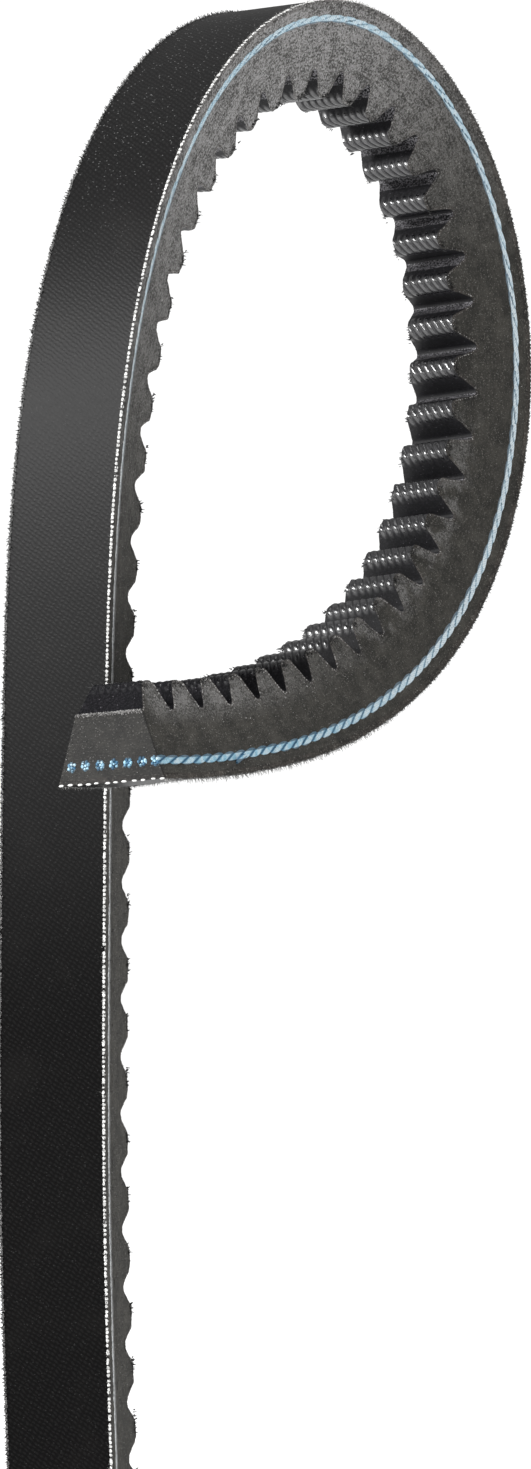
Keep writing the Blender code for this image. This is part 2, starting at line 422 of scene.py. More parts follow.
class Look:
    """One material. Each method adds nodes to it and returns their output."""

    def __init__(self, name, roughness=0.5, specular=0.5):
        self.material = bpy.data.materials.new(name)
        self.material.use_nodes = True
        self.tree = self.material.node_tree
        self.shader = self.tree.nodes["Principled BSDF"]
        self.shader.inputs["Roughness"].default_value = roughness
        self.shader.inputs["Specular IOR Level"].default_value = specular

    def node(self, kind, settings=(), **inputs):
        """Adds a node. An input is named, or is _ and its number, and is a value or an output."""
        node = self.tree.nodes.new(kind)
        for name, value in dict(settings).items():
            setattr(node, name, value)
        for name, value in inputs.items():
            socket = node.inputs[int(name[1:])] if name[0] == "_" else node.inputs[name]
            if isinstance(value, bpy.types.NodeSocket):
                self.tree.links.new(value, socket)
            else:
                socket.default_value = value
        return node

    def attribute(self, name, output):
        return self.node("ShaderNodeAttribute", {"attribute_name": name}).outputs[output]

    def belt(self):
        return self.attribute("belt", "Vector")

    def shade(self):
        return self.attribute("shade", "Fac")

    def split(self, place):
        """A place's distance from the free end, its depth and how far it lies across."""
        parts = self.node("ShaderNodeSeparateXYZ", _0=place).outputs
        return parts["X"], parts["Y"], parts["Z"]

    def stretch(self, vector, factors):
        return self.node(
            "ShaderNodeVectorMath", {"operation": "MULTIPLY"}, _0=vector, _1=factors
        ).outputs["Vector"]

    def noise(self, vector, scale, detail=2.0, roughness=0.5):
        return self.node(
            "ShaderNodeTexNoise", Vector=vector, Scale=scale, Detail=detail, Roughness=roughness
        ).outputs["Fac"]

    def cells(self, vector, scale):
        """The distance from the nearest of scattered points."""
        return self.node("ShaderNodeTexVoronoi", Vector=vector, Scale=scale).outputs["Distance"]

    def sum(self, first, second, factor=1.0):
        """first + second x factor."""
        return self.node(
            "ShaderNodeMath", {"operation": "MULTIPLY_ADD"}, _0=second, _1=factor, _2=first
        ).outputs["Value"]

    def weigh(self, *parts):
        """The sum of (value, factor) pairs."""
        total = 0.0
        for value, factor in parts:
            total = self.sum(total, value, factor)
        return total

    def product(self, *factors):
        result = factors[0]
        for factor in factors[1:]:
            result = self.node(
                "ShaderNodeMath", {"operation": "MULTIPLY"}, _0=result, _1=factor
            ).outputs["Value"]
        return result

    def stripes(self, vector, direction, period, waver=None, amount=0.0):
        """Waves from 0 to 1 across a direction, whose phase wavers."""
        direction = Vector(direction).normalized() * FULL_TURN / period
        phase = self.node(
            "ShaderNodeVectorMath", {"operation": "DOT_PRODUCT"}, _0=vector, _1=direction
        ).outputs["Value"]
        if waver is not None:
            phase = self.sum(phase, waver, amount)
        wave = self.node("ShaderNodeMath", {"operation": "SINE"}, _0=phase).outputs["Value"]
        return self.sum(0.5, wave, 0.5)

    def range(self, value, low, high, to_low=0.0, to_high=1.0):
        """Maps low to high onto to_low to to_high, smoothly and without going past them."""
        settings = {"interpolation_type": "SMOOTHSTEP"}
        return self.node(
            "ShaderNodeMapRange", settings, _0=value, _1=low, _2=high, _3=to_low, _4=to_high
        ).outputs[0]

    def band(self, value, start, full, fading, end):
        """Rises from 0 at start to 1 at full, and falls from there at fading to 0 at end."""
        return self.product(self.range(value, start, full), self.range(value, fading, end, 1, 0))

    def mix(self, factor, first, second):
        """From one colour to another. A colour is three numbers or an output."""
        first, second = (
            colour if isinstance(colour, bpy.types.NodeSocket) else (*colour, 1.0)
            for colour in (first, second)
        )
        return self.node(
            "ShaderNodeMix", {"data_type": "RGBA"}, _0=factor, _6=first, _7=second
        ).outputs[2]

    def paint(self, colour, height, depth, strength, **others):
        """Links the colour, the bump's height and any other values to the shader."""
        self.tree.links.new(colour, self.shader.inputs["Base Color"])
        for name, output in others.items():
            self.tree.links.new(output, self.shader.inputs[name])
        bump = self.node("ShaderNodeBump", Height=height, Distance=depth, Strength=strength)
        self.tree.links.new(bump.outputs["Normal"], self.shader.inputs["Normal"])
        return self.material


def fabric_look():
    """Black twill: fine slanting ribs of thread, paler where worn, with a few pale specks."""
    look = Look("back_fabric", roughness=0.45)
    place = look.belt()
    along, _, _ = look.split(place)
    waver = look.noise(place, scale=0.8)
    rib = look.stripes(place, TWILL_RIB, TWILL_RIB_PERIOD, waver, amount=9.0)
    thread = look.stripes(place, TWILL_THREAD, TWILL_THREAD_PERIOD, waver, amount=8.0)
    weave = look.product(rib, look.range(thread, 0.0, 1.0, 0.4, 1.0))
    colour = look.mix(look.range(weave, 0.1, 0.9), TWILL_BLACK, TWILL_GREY)
    worn = look.noise(place, scale=0.09, detail=3.0)
    colour = look.mix(look.range(worn, 0.5, 0.8, 0.0, 0.25), colour, WORN_TWILL)
    cells = look.cells(look.stretch(place, (1.0, 1.0, 0.6)), scale=2.1)
    share = look.sum(0.15, look.band(along, *SPECKED_TOP), 0.85)
    specks = look.product(look.range(cells, 0.09, 0.18, 1.0, 0.0), share)
    colour = look.mix(specks, colour, TWILL_SPECK)
    # Painted shade: less specular down the tail darkens its lower part, as if less light reached
    # it
    sheen_shaded_down_tail = look.range(along, *SHADED_TAIL_START, 0.12, 0.02)
    return look.paint(
        colour, height=weave, depth=0.05 * MM, strength=0.3, **{"Specular IOR Level": sheen_shaded_down_tail}
    )


def dust_and_sheen(look, place):
    """How pale the flanks are painted: with dust and painted sheen at the loop's top, and with
    dust on the cogs nearer the free end.
    """
    along, depth, _ = look.split(place)
    top = look.band(along, *DUST_AND_SHEEN_TOP)
    end = look.product(look.band(along, *DUSTY_END), look.range(depth, 6.5, 10.5, 0.0, 0.5))
    low = look.product(
        look.band(along, *DUSTY_LOW), look.range(depth, 7.0, 10.0, 0.0, 0.45),
        look.range(look.noise(place, scale=0.3), 0.42, 0.6),
    )
    return look.sum(look.sum(top, end), low)


def rubber_look(name, dark, pale, flecks, dust_and_sheen_amount=1.0):
    """Fibre-filled rubber, cut: mottled, streaked along the belt and speckled with fibre ends.

    `flecks` is how strongly the fibre ends show; the last argument says how much of the dust and
    painted sheen goes on.
    """
    look = Look(name, roughness=0.75, specular=0.25)
    place = look.belt()
    along, _, _ = look.split(place)
    mottle = look.noise(place, scale=0.35, detail=4.0, roughness=0.6)
    streaked = look.stretch(place, (0.3, 2.0, 2.0))
    streak = look.noise(streaked, scale=1.3, detail=3.0, roughness=0.6)
    grain = look.noise(place, scale=3.2, roughness=0.7)
    tone = look.weigh((mottle, 0.6), (streak, 0.25), (grain, 0.35))
    colour = look.mix(look.range(tone, 0.45, 0.8), dark, pale)
    rubbed = look.weigh((grain, 0.6), (streak, 0.2), (mottle, 0.2))
    # Painted paler with dust, and with painted sheen at the loop's top
    dust_and_sheen_mask = look.product(dust_and_sheen(look, place), look.range(rubbed, 0.43, 0.57, 0.12, 1.0))
    colour = look.mix(look.product(dust_and_sheen_mask, dust_and_sheen_amount), colour, DUST_AND_SHEEN)
    ends = look.noise(look.stretch(place, (1.0, 1.0, 0.5)), scale=4.6, detail=1.0)
    tips = look.product(look.range(ends, 0.59, 0.73), look.sum(flecks, dust_and_sheen_mask, 0.3))
    colour = look.mix(tips, colour, look.mix(dust_and_sheen_mask, FIBRE_TIP, DUST_AND_SHEEN_TIP))
    colour = look.mix(look.range(along, *CUT_EDGE, 0.6, 0.0), colour, CUT_RUBBER)
    height = look.weigh((grain, 1.0), (ends, 0.6), (streak, 0.8))
    return look.paint(colour, height, depth=0.1 * MM, strength=0.7)


def facing_look():
    """Black ribbed cloth, pressed shiny on the crowns of its ribs and dull between them."""
    look = Look("cog_facing")
    place, crown = look.belt(), look.shade()
    along, _, across = look.split(place)
    grain = look.noise(place, scale=4.0)
    colour = look.mix(look.range(grain, 0.4, 0.8), FACING_BLACK, FACING_GREY)
    speck = look.range(look.cells(place, scale=1.4), 0.05, 0.14, 0.5, 0.0)
    colour = look.mix(speck, colour, FACING_SPECK)
    # Lint and painted light: one wall of each notch, near its root and most toward the near flank,
    # is painted pale
    lint_and_light = look.product(
        look.range(crown, -0.9, -0.2, 1.0, 0.0), look.range(grain, 0.4, 0.66),
        look.range(across, 2.5, 6.0, 0.4, 1.0),
    )
    colour = look.mix(lint_and_light, colour, FACING_LINT_AND_LIGHT)
    dull = look.range(crown, 0.15, 0.8, 0.6, 0.22)
    worn = look.range(along, *SHINY_COGS_START, 0.15, 1.0)
    shine = look.product(look.range(crown, 0.1, 0.7, 0.25, 1.0), worn)
    return look.paint(
        colour, height=grain, depth=0.06 * MM, strength=0.5,
        **{"Roughness": dull, "Specular IOR Level": shine},
    )


def cord_look():
    """Blue twisted yarn: pale on the crowns, with painted shade in deep blue between the strands
    and along its edges.
    """
    look = Look("tensile_cord", roughness=0.45)
    place, crown = look.belt(), look.shade()
    along, depth, _ = look.split(place)
    # The cord is painted paler from here, and whiter on its crowns until that fades
    paler = look.range(along, *PALE_CORD_START)
    tail = look.range(along, *BARE_TAIL_START)
    raised = look.sum(crown, paler, 0.06)
    # Painted shade: the grooves between strands are dark blue
    colour = look.mix(look.range(raised, 0.7, 0.9), CORD_GROOVE_SHADE, CORD_BLUE)
    patch = look.noise(place, scale=1.1, detail=3.0)
    worn = look.product(look.range(patch, 0.4, 0.6, 0.0, 0.8), look.range(raised, 0.74, 0.92))
    colour = look.mix(worn, colour, WORN_CORD)
    white = look.product(
        paler, look.range(along, *PALE_CORD_FADES, 0.8, 0.4),
        look.range(raised, 0.74, 0.98, 0.2, 1.0),
    )
    colour = look.mix(white, colour, PALEST_CORD)
    waver = look.noise(place, scale=2.0)
    hair = look.stripes(place, CORD_YARN, CORD_YARN_PERIOD, waver, amount=5.0)
    colour = look.mix(look.product(hair, 0.3), colour, CORD_HAIR)
    grime = look.noise(place, scale=2.4, detail=3.0, roughness=0.7)
    colour = look.mix(look.range(grime, 0.54, 0.68, 0.0, 0.5), colour, CORD_GRIME)
    bare_patch = look.range(look.noise(place, scale=2.9), 0.4, 0.6)
    bare = look.mix(bare_patch, BARE_CORD_DARK, BARE_CORD_PALE)
    colour = look.mix(look.product(tail, 0.9), colour, bare)
    edge_colour = look.mix(tail, CORD_EDGE_SHADE, BARE_CORD_EDGE)
    # Painted shade and covering rubber darken the cord's edges
    colour = look.mix(covered_and_shaded_edge(look, along, depth, tail), colour, edge_colour)
    return look.paint(colour, height=hair, depth=0.05 * MM, strength=0.5)


def covered_and_shaded_edge(look, along, depth, tail):
    """How dark the cord's edges are painted, for rubber over them and painted shade along them: a
    little more at the free end, most on the tail.
    """
    offset = look.sum(look.sum(depth, -1.0, CORD_LINE / MM), tail, 0.35)
    offset = look.product(
        offset, look.range(along, *NARROW_CORD_END, 1.28, 1.18),
        look.range(along, *BARE_TAIL_START, 1.0, 1.45),
    )
    return look.range(look.product(offset, offset), 0.2, 0.34, 0.0, 0.8)


def thread_look(name, colours, roughness):
    """Yarn or fibre, each one dark or pale as its shade says."""
    dark, pale = colours
    look = Look(name, roughness, specular=0.3)
    hair = look.stripes(look.belt(), FIBRE_YARN, FIBRE_YARN_PERIOD)
    colour = look.mix(look.shade(), dark, pale)
    colour = look.mix(look.product(hair, 0.15), colour, dark)
    return look.paint(colour, height=hair, depth=0.03 * MM, strength=0.4)


# --------------------------------------------------------------------
# Plies
# --------------------------------------------------------------------

FLANK_ROUGHNESS = 0.02 * MM
RIB_PITCH = 1.16 * MM
RIB_HEIGHT = 0.14 * MM
RIB_SLANT = 0.5
RIB_COLUMNS = 57
RIB_FADE_DEPTHS = (BELT_DEPTH - 1.6 * MM, BELT_DEPTH - 0.4 * MM)
FADED_RIB = 0.06
# How deep the lint and painted light on the notch walls reach
LINT_AND_LIGHT_DEPTH = ROOT_DEPTH + 1.3 * MM


def seeded(name, side):
    """A random source of a piece's own, the same on each run."""
    return np.random.default_rng([side.joint, *name.encode()])


def on_flank(across):
    """For each corner, whether the face after it lies on a flank."""
    return (np.abs(across) == 1) & (across == np.roll(across, -1))


def add_flat_ply(name, side, top, bottom, materials, columns=4, rows=3):
    rings, _, across = ply(flat_line(side, top), flat_line(side, bottom), columns, rows)
    roughen_flanks(seeded(name, side), rings, across, FLANK_ROUGHNESS)
    cut = on_flank(across) if len(materials) > 1 else None
    add_piece(name, side, rings[None], materials, stands_for=name, cut=cut)


def add_compression_rubber(side, materials):
    name = "compression_rubber"
    cogs = cog_line(side, FACING_THICKNESS)
    back = np.stack([cogs[:, 0], np.full(len(cogs), GUM_END)], -1)
    rings, _, across = ply(back, cogs, columns=6, rows=8)
    roughen_flanks(seeded(name, side), rings, across, FLANK_ROUGHNESS)
    add_piece(name, side, rings[None], materials, stands_for=name)


def rib_height(distance, depth, across):
    """How far the facing's ribs stand up, from 0 to 1. They slant, and fade into the notches."""
    phase = (across + RIB_SLANT * distance) / RIB_PITCH
    return np.interp(depth, RIB_FADE_DEPTHS, (FADED_RIB, 1.0)) * np.abs(np.cos(math.pi * phase))


def lint_and_light_walls(surface):
    """Where the facing is painted pale, with lint and painted light: on one wall of each notch,
    near its root.
    """
    return (surface[:, 1] < LINT_AND_LIGHT_DEPTH) & (np.gradient(surface[:, 1]) < 0)


def add_cog_facing(side, materials):
    """The ribbed facing. Its shade is a rib's height, or -1 where lint and painted light make it
    pale.
    """
    name = "cog_facing"
    surface = cog_line(side)
    rings, share, across = ply(cog_line(side, FACING_THICKNESS), surface, RIB_COLUMNS, rows=2)
    course = np.gradient(surface, axis=0)
    outward = unit(np.stack([-course[:, 1], course[:, 0]], -1))
    crown = rib_height(rings[..., 0], rings[..., 1], rings[..., 2]) * (share == 0)
    rings[..., :2] += outward[:, None] * (crown * RIB_HEIGHT)[..., None]
    crown[lint_and_light_walls(surface)] = -1
    roughen_flanks(seeded(name, side), rings, across, FLANK_ROUGHNESS)
    add_piece(
        name, side, rings[None], materials, stands_for=name, shade=crown[None],
        cut=on_flank(across),
    )


def add_plies(side):
    cloth_edge = rubber_look(
        "cloth_edge", CLOTH_EDGE_DARK, CLOTH_EDGE_PALE, flecks=0.8, dust_and_sheen_amount=0.6
    )
    overcord = rubber_look("overcord_rubber", RUBBER_DARK, RUBBER_PALE, flecks=0.4)
    gum = rubber_look("adhesion_gum", RUBBER_DARK, RUBBER_PALE, flecks=0.35)
    body = rubber_look("compression_rubber", RUBBER_DARK, RUBBER_PALE, flecks=0.6)
    fabric_materials = [fabric_look(), cloth_edge]
    add_flat_ply("back_fabric", side, 0.0, FABRIC_END, fabric_materials, columns=24, rows=2)
    add_flat_ply("overcord_rubber", side, FABRIC_END, OVERCORD_END, [overcord])
    add_flat_ply("adhesion_gum", side, OVERCORD_END, GUM_END, [gum])
    add_compression_rubber(side, [body])
    add_cog_facing(side, [facing_look(), cloth_edge])


# --------------------------------------------------------------------
# Cords
# --------------------------------------------------------------------

STRANDS = 3
STRAND_REACH = 0.22 * MM
LOOSE_STRAND_REACH = 0.32 * MM
STRAND_RADIUS = 0.43 * MM
STRAND_CORNERS = 12
LOOSE_STRANDS_END = 60 * MM
STRAND_TURN = -8.4 * MM
CORD_STAND_OUT = 0.06 * MM
BARE_CORD_STEP = 0.3 * MM
HIDDEN_CORD_STEP = 1.1 * MM

# How far a cord wanders in depth and across, and over what lengths
DEPTH_WANDER, DEPTH_WAVELENGTH = 0.06 * MM, 31 * MM
SIDE_WANDER, SIDE_WAVELENGTH = 0.07 * MM, 43 * MM

PETALS = 6
PETAL_REACH = 0.5 * MM
PETAL_RADIUS = 0.3 * MM
PETAL_STAND_OUT = 0.12 * MM
PETAL_PROFILE = (1.0, 1.0, 0.9, 0.45)
PETAL_SHIFT = 0.12
PETAL_REACHES = (0.85, 1.15)
PETAL_HEIGHTS = (0.8, 1.3)
MIDDLE_PETAL_HEIGHT = 0.5
PETAL_SIZES = (0.85, 1.1)
PETAL_SHADES = (0.68, 0.96)

# The first cord's loose strand, in mm: where it runs, its shape and how it leaves the flank
STRAY_SPAN = (21.5, 17.8)
STRAY_RADIUS = 0.3
STRAY_PROFILE = (0.7, 1.0, 1.05, 1.1, 1.15, 1.0, 0.5)
STRAY_SINK = 0.1
STRAY_RISE = 0.75
STRAY_STAND_OFF = 0.45
STRAY_CORNERS = 10


def cord_place(number):
    """How far across a cord lies, counted from the near flank."""
    return half_width(CORD_LINE) - FIRST_CORD_INSET - (number - 1) * CORD_PITCH


def cord_course(number, distance):
    """A cord's own course, which wanders a little: its depth and place across."""
    depth = CORD_LINE + DEPTH_WANDER * wander(distance, DEPTH_WAVELENGTH, number)
    sideways = SIDE_WANDER * wander(distance, SIDE_WAVELENGTH, number + CORD_COUNT)
    return depth, cord_place(number) + sideways


def add_cord(number, side, material):
    """A cord of three twisted strands. The near flank cuts through the first cord."""
    start, end = side_ends(side)
    step = BARE_CORD_STEP if number == 1 else HIDDEN_CORD_STEP
    distance = np.linspace(start, end, round((end - start) / step) + 1)
    depth, across = cord_course(number, distance)
    strand = np.arange(STRANDS)[:, None] / STRANDS
    angle = FULL_TURN * (distance / STRAND_TURN + number / CORD_COUNT + strand)
    reach = np.interp(
        distance, (LOOSE_STRANDS_END, 2 * LOOSE_STRANDS_END), (LOOSE_STRAND_REACH, STRAND_REACH)
    )
    centres = stack_places(
        distance, depth + reach * np.cos(angle), across + reach * np.sin(angle)
    )
    axes = np.tile(np.eye(3), (STRANDS, 1, 1))
    radii = np.full((*centres.shape[:2], 2), STRAND_RADIUS)
    tubes = ring_round(centres, axes[:, 1], axes[:, 2], radii, STRAND_CORNERS)
    middle = np.stack([depth, across], -1)[None, :, None]
    spread = np.linalg.norm(tubes[..., 1:] - middle, axis=-1)
    crown = spread / (reach[:, None] + STRAND_RADIUS)
    tubes[..., 2] = np.minimum(tubes[..., 2], half_width(tubes[..., 1]) + CORD_STAND_OUT)
    name = f"cord_{number}"
    add_piece(name, side, tubes, [material], stands_for=name, shade=crown)


def add_cord_ends(side, material):
    """The cords' yarns at the free end's cut, spread like petals round a middle one."""
    rng = seeded("cord_ends", side)
    roots, heights = [], []
    for number in range(1, CORD_COUNT + 1):
        depth, across = cord_course(number, np.array(0.0))
        inset = PETAL_RADIUS * (number == 1)
        angle = FULL_TURN * (np.arange(PETALS) / PETALS + rng.uniform())
        angle += rng.normal(0, PETAL_SHIFT, PETALS)
        reach = PETAL_REACH * rng.uniform(*PETAL_REACHES, PETALS)
        roots.append(stack_places(
            PETAL_RADIUS, depth + reach * np.cos(angle), across - inset + reach * np.sin(angle)
        ))
        roots.append(stack_places(PETAL_RADIUS, depth, across - inset)[None])
        heights.append([*rng.uniform(*PETAL_HEIGHTS, PETALS), MIDDLE_PETAL_HEIGHT])
    roots = np.concatenate(roots)
    count = len(roots)
    tubes = fibres(
        rng, roots, scatter(rng, count, (-1, 0, 0), (0, 0.12, 0.12)),
        PETAL_RADIUS + PETAL_STAND_OUT * np.concatenate(heights),
        PETAL_RADIUS * rng.uniform(*PETAL_SIZES, count), curl=0.05,
        profile=PETAL_PROFILE, guide=(0, 1, 0), corners=8,
    )
    shade = rng.uniform(*PETAL_SHADES, (count, 1, 1))
    add_piece("cord_ends", side, tubes, [material], shade=shade)


def add_cords(side):
    material = cord_look()
    for number in range(1, CORD_COUNT + 1):
        add_cord(number, side, material)


def add_loose_strand(side, material):
    """A cut strand of the bare cord that stands off the near flank, near the free end."""
    share = np.linspace(0, 1, len(STRAY_PROFILE))
    distance = np.linspace(*STRAY_SPAN, len(share)) * MM
    depth = CORD_LINE - (STRAY_SINK + STRAY_RISE * share**1.5) * MM
    across = half_width(depth) + (STRAY_STAND_OFF * share - STRAY_SINK) * MM
    axes = np.eye(3)[None]
    radii = STRAY_RADIUS * np.array(STRAY_PROFILE) * MM
    tube = ring_round(
        stack_places(distance, depth, across)[None], axes[:, 2], axes[:, 1],
        radii[None, :, None].repeat(2, -1), STRAY_CORNERS,
    )
    crown = 0.75 + 0.25 * np.cos(np.arange(STRAY_CORNERS))
    add_piece("loose_strand", side, tube, [material], shade=crown)


# --------------------------------------------------------------------
# Threads and fibres
# --------------------------------------------------------------------

THREAD_PITCH = 0.56 * MM
THREAD_INSET = 0.27 * MM
THREAD_WAVER = 0.03 * MM
THREAD_WIDTHS = (0.6, 1.9)
WHITE_THREADS_START = 190 * MM
WHITE_SHADES = (0.7, 1.0)
DARK_THREAD = 0.15
BRISTLE_PITCH = 0.16 * MM
BRISTLE_DEPTH = 0.1 * MM
BRISTLE_INSET = 0.35
EDGE_DOT_PITCH = 0.42 * MM
EDGE_DOT_DEPTH = 0.2 * MM
EDGE_DOT_INSET = 0.08 * MM
EDGE_DOT_WAVER = 0.06 * MM
FLECKS_PER_MM = 11
FLECK_INSET = 0.05 * MM
CREST_FIBRES_PER_COG = 15
CREST_FIBRE_DEPTHS = (12.2, 13.0)
CREST_FIBRE_INSET = 0.1 * MM
CREST_FIBRE_SHIFT, CREST_FIBRE_SPREAD = -0.9, 0.7
CREST_FIBRE_SHADES = (0, 0.3)
END_THREAD_PITCH = 1.3 * MM
END_THREAD_MARGIN = 0.3 * MM
END_THREAD_WAVER = 0.12 * MM
END_THREAD_WIDTHS = (2.2, 0.8)
END_THREAD_START = 0.1 * MM
END_FLECK_START = 0.04 * MM
FACE_FLECKS, ROOT_FLECKS, EDGE_FLECKS = 420, 420, 90
ROOT_FLECK_REACH = 0.5 * MM

# The free end's near flank is frayed: its fibres are thicker, and more of them are pale
FRAYED_END = 60 * MM
FRAYED_DEPTH = 6.5 * MM
FRAYED_BRISTLE_LENGTH, FRAYED_BRISTLE_RADIUS, STUBBY_BRISTLE_RADIUS = 1.4, 1.3, 2.2
FRAYED_DOT_RADIUS = 1.25
THICK_FLECK_RADIUS = 1.7

# For uneven(): how dark most fibres of a kind are
PALE, MIXED, DARK = 0.45, 0.8, 4.0
DOT_DIMNESS, FRAYED_DIMNESS = 1.6, 0.5
FLECK_DIMNESS, FRAYED_FLECK_DIMNESS = 2.0, 0.9

# A kind of fibre: its mean direction on the near flank or the cut, the spread round that, its
# shortest and longest and its thinnest and thickest in mm, and how far it curls for its length
Kind = namedtuple("Kind", "direction spread lengths radii curl")
THREAD_END = Kind((0, -0.05, 1), (0.25, 0.1, 0), (0.36, 0.42), (0.11, 0.15), 0.1)
BRISTLE = Kind((0, -1, 0.35), (0.2, 0, 0.2), (0.25, 0.6), (0.03, 0.055), 0.25)
EDGE_DOT = Kind((0, 0, 1), (0.3, 0.3, 0), (0.12, 0.22), (0.05, 0.14), 0.1)
FLANK_FLECK = Kind((0, 0, 1), (0.6, 0.6, 0), (0.1, 0.2), (0.02, 0.05), 0.1)
CREST_FIBRE = Kind((-0.35, 0.25, 1), (0.4, 0.35, 0.1), (0.2, 0.6), (0.06, 0.12), 0.3)
END_THREAD = Kind((-1, -0.2, 0), (0, 0.15, 0.15), (0.25, 0.4), (0.16, 0.21), 0.1)
END_FLECK = Kind((-1, 0, 0), (0, 0.5, 0.8), (0.08, 0.18), (0.02, 0.055), 0.1)


def along_side(rng, side, pitch):
    """Distances along a side, about a pitch apart."""
    start, end = side_ends(side)
    count = round((end - start) / pitch)
    return start + (np.arange(count) + 0.5 + rng.uniform(-0.2, 0.2, count)) * pitch


def kind_directions(rng, kind, count, flank=1):
    along, inward, across = kind.direction
    return scatter(rng, count, (along, inward, across * flank), kind.spread)


def kind_sizes(rng, kind, count):
    """Lengths and radii."""
    lengths = rng.uniform(*kind.lengths, count) * MM
    return lengths, rng.uniform(*kind.radii, count) * MM


def uneven(rng, count, dimness):
    """Shades from 0 to 1, most of them pale where dimness is under 1 and dark where over."""
    return rng.uniform(0, 1, count) ** dimness


def thread_ends(rng, side, flank):
    """The frayed white ends of the back fabric's threads, along a cut edge."""
    distance = along_side(rng, side, THREAD_PITCH)
    count = len(distance)
    depth = rng.normal(0, THREAD_WAVER, count)
    roots = stack_places(distance, depth, flank * (half_width(depth) - THREAD_INSET))
    lengths, radii = kind_sizes(rng, THREAD_END, count)
    directions = kind_directions(rng, THREAD_END, count, flank)
    tubes = fibres(
        rng, roots, directions, lengths, radii, THREAD_END.curl, STUB_PROFILE,
        widths=THREAD_WIDTHS, corners=8,
    )
    white = (flank > 0) & (distance > WHITE_THREADS_START)
    return tubes, rng.uniform(*WHITE_SHADES, count) * np.where(white, 1.0, DARK_THREAD)


def bristles(rng, side, flank):
    """Short stiff hairs that stand up round an edge of the back."""
    distance = along_side(rng, side, BRISTLE_PITCH)
    count = len(distance)
    inset = rng.uniform(0.0, BRISTLE_INSET, count) * MM
    roots = stack_places(distance, BRISTLE_DEPTH, flank * (half_width(0.0) - inset))
    directions = kind_directions(rng, BRISTLE, count, flank)
    lengths, radii = kind_sizes(rng, BRISTLE, count)
    frayed = (flank > 0) & (distance < FRAYED_END)
    stubby = (flank < 0) & (distance > FRAYED_END)
    lengths *= np.where(frayed, FRAYED_BRISTLE_LENGTH, 1.0)
    radii *= np.where(frayed, FRAYED_BRISTLE_RADIUS, 1.0)
    radii *= np.where(stubby, STUBBY_BRISTLE_RADIUS, 1.0)
    tubes = fibres(rng, roots, directions, lengths, radii, BRISTLE.curl)
    return tubes, uneven(rng, count, np.where(frayed, PALE, MIXED if flank > 0 else DARK))


def edge_dots(rng, side, flank):
    """The facing's cut threads, which outline the cogs as dots on a flank."""
    line = cog_line(side, EDGE_DOT_DEPTH)
    walked = np.concatenate([[0], np.cumsum(np.linalg.norm(np.diff(line, axis=0), axis=1))])
    count = round(walked[-1] / EDGE_DOT_PITCH)
    stops = (np.arange(count) + 0.5 + rng.uniform(-0.4, 0.4, count)) * EDGE_DOT_PITCH
    distance = np.interp(stops, walked, line[:, 0])
    depth = np.interp(stops, walked, line[:, 1]) + rng.normal(0, EDGE_DOT_WAVER, count)
    roots = stack_places(distance, depth, flank * (half_width(depth) - EDGE_DOT_INSET))
    lengths, radii = kind_sizes(rng, EDGE_DOT, count)
    directions = kind_directions(rng, EDGE_DOT, count, flank)
    frayed = (flank > 0) & (distance < FRAYED_END)
    radii *= np.where(frayed, FRAYED_DOT_RADIUS, 1.0)
    tubes = fibres(rng, roots, directions, lengths, radii, EDGE_DOT.curl, STUB_PROFILE)
    # Painted light: dots on the notch wall that faces up on the loop's right side are paler
    painted_lit_wall = np.interp(stops, walked, np.gradient(line[:, 1])) < 0
    dimness = np.where(painted_lit_wall, PALE, DOT_DIMNESS) * np.where(frayed, FRAYED_DIMNESS, 1.0)
    return tubes, uneven(rng, count, dimness)


def flank_flecks(rng, side, flank):
    """The tips of the rubber's short fibres, which stand out of a flank."""
    line = cog_line(side, FACING_THICKNESS)
    start, end = side_ends(side)
    count = round((end - start) / MM * FLECKS_PER_MM)
    distance = rng.uniform(start, end, count)
    depth = rng.uniform(FABRIC_END, np.interp(distance, line[:, 0], line[:, 1]))
    roots = stack_places(distance, depth, flank * (half_width(depth) - FLECK_INSET))
    directions = kind_directions(rng, FLANK_FLECK, count, flank)
    lengths, radii = kind_sizes(rng, FLANK_FLECK, count)
    frayed = (flank > 0) & (distance < FRAYED_END) & (depth > FRAYED_DEPTH)
    radii *= np.where(frayed, THICK_FLECK_RADIUS, 1.0)
    tubes = fibres(rng, roots, directions, lengths, radii, FLANK_FLECK.curl, profile=(1.0, 0.6))
    dimness = np.where(frayed, FRAYED_FLECK_DIMNESS, FLECK_DIMNESS)
    return tubes, uneven(rng, count, dimness)


def add_on_flanks(name, grow, side, material):
    """A piece of fibres on both flanks. grow() gives one flank's, and the shade of each."""
    rng = seeded(name, side)
    tubes, shades = zip(*[grow(rng, side, flank) for flank in (1, -1)])
    add_piece(
        name, side, np.concatenate(tubes), [material],
        shade=np.concatenate(shades)[:, None, None],
    )


